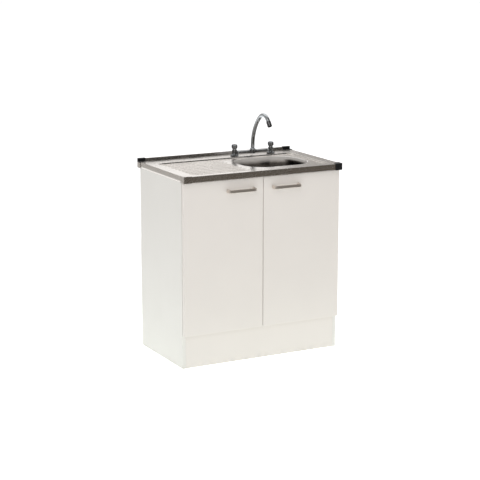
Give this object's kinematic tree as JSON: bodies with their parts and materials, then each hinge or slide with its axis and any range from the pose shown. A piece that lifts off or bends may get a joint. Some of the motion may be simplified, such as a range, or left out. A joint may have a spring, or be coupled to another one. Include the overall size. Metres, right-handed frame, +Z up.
{
  "type": "kitchen sink cabinet",
  "caption": "Free-standing two-door kitchen base cabinet with a sit-on steel sink top, drainer, bowl and swan-neck bridge mixer tap.",
  "frame": {"origin": "on the floor, under the middle of the overall outline", "axes": "+Z up, +Y towards the wall behind the cabinet, +X to the right seen from the front"},
  "size_m": [0.8036, 0.5138, 1.0814],
  "materials": {
    "melamine": "satin off-white melamine on board",
    "hardboard": "plain brown hardboard",
    "steel": "brushed stainless sheet",
    "chrome": "polished",
    "handle_metal": "satin dark metal",
    "nickel": "nickel-plated pressed steel",
    "black_plastic": "moulded, satin",
    "rubber": "matt",
    "white_plastic": "moulded, smooth",
    "brass": "turned"
  },
  "bodies": {
    "cabinet": {"side_panel_left": "melamine", "side_panel_right": "melamine", "bottom_panel": "melamine", "back_panel": "hardboard", "front_rail": "melamine", "rear_rail": "melamine", "plinth": "melamine", "door_buffer_left_upper": "white_plastic", "door_buffer_left_lower": "white_plastic", "door_buffer_right_upper": "white_plastic", "door_buffer_right_lower": "white_plastic", "sink_top": "steel", "corner_cap_front_left": "black_plastic", "corner_cap_front_right": "black_plastic", "corner_cap_back_left": "black_plastic", "corner_cap_back_right": "black_plastic", "hinge_arm_left_upper": "nickel", "hinge_arm_left_lower": "nickel", "hinge_arm_right_upper": "nickel", "hinge_arm_right_lower": "nickel", "hinge_plate_left_upper": "nickel", "hinge_plate_left_lower": "nickel", "hinge_plate_right_upper": "nickel", "hinge_plate_right_lower": "nickel", "tap_body": "chrome", "tap_washer_hot": "rubber", "tap_washer_cold": "rubber", "tap_backnut_hot": "brass", "tap_backnut_cold": "brass", "tap_bonnet_hot": "chrome", "tap_bonnet_cold": "chrome", "spout_nut": "chrome", "waste_cup": "steel", "waste_gasket": "rubber", "waste_nut": "white_plastic", "waste_tail": "white_plastic", "trap_body": "white_plastic", "trap_nut": "white_plastic", "trap_cup": "white_plastic", "outlet_pipe": "white_plastic", "outlet_nut": "white_plastic"},
    "left_door": {"door_left": "melamine", "handle_left": "handle_metal", "hinge_cup_left_upper": "nickel", "hinge_cup_left_lower": "nickel"},
    "right_door": {"door_right": "melamine", "handle_right": "handle_metal", "hinge_cup_right_upper": "nickel", "hinge_cup_right_lower": "nickel"},
    "swivel_spout": {"spout": "chrome", "spout_nozzle": "chrome"},
    "hot_knob": {"tap_knob_hot": "chrome", "tap_index_hot": "chrome"},
    "cold_knob": {"tap_knob_cold": "chrome", "tap_index_cold": "chrome"},
    "strainer": {"strainer_basket": "steel"}
  },
  "joints": [
    {"name": "left_door_hinge", "type": "hinge", "parent": "cabinet", "child": "left_door", "pos_m": [-0.3888, -0.2194, 0.152], "axis": [0, 0, -1], "range_deg": [0, 95]},
    {"name": "right_door_hinge", "type": "hinge", "parent": "cabinet", "child": "right_door", "pos_m": [0.3888, -0.2194, 0.152], "axis": [0, 0, 1], "range_deg": [0, 95]},
    {"name": "spout_swivel", "type": "hinge", "parent": "cabinet", "child": "swivel_spout", "pos_m": [0.163, 0.1801, 0.8976], "axis": [0, 0, 1], "range_deg": [-120, 120]},
    {"name": "hot_valve_turn", "type": "hinge", "parent": "cabinet", "child": "hot_knob", "pos_m": [0.066, 0.1801, 0.9087], "axis": [0, 0, 1], "range_deg": [0, 180]},
    {"name": "cold_valve_turn", "type": "hinge", "parent": "cabinet", "child": "cold_knob", "pos_m": [0.26, 0.1801, 0.9087], "axis": [0, 0, 1], "range_deg": [0, 180]},
    {"name": "strainer_lift", "type": "slide", "parent": "cabinet", "child": "strainer", "axis": [0, 0, 1], "range_m": [0, 0.06]}
  ]
}
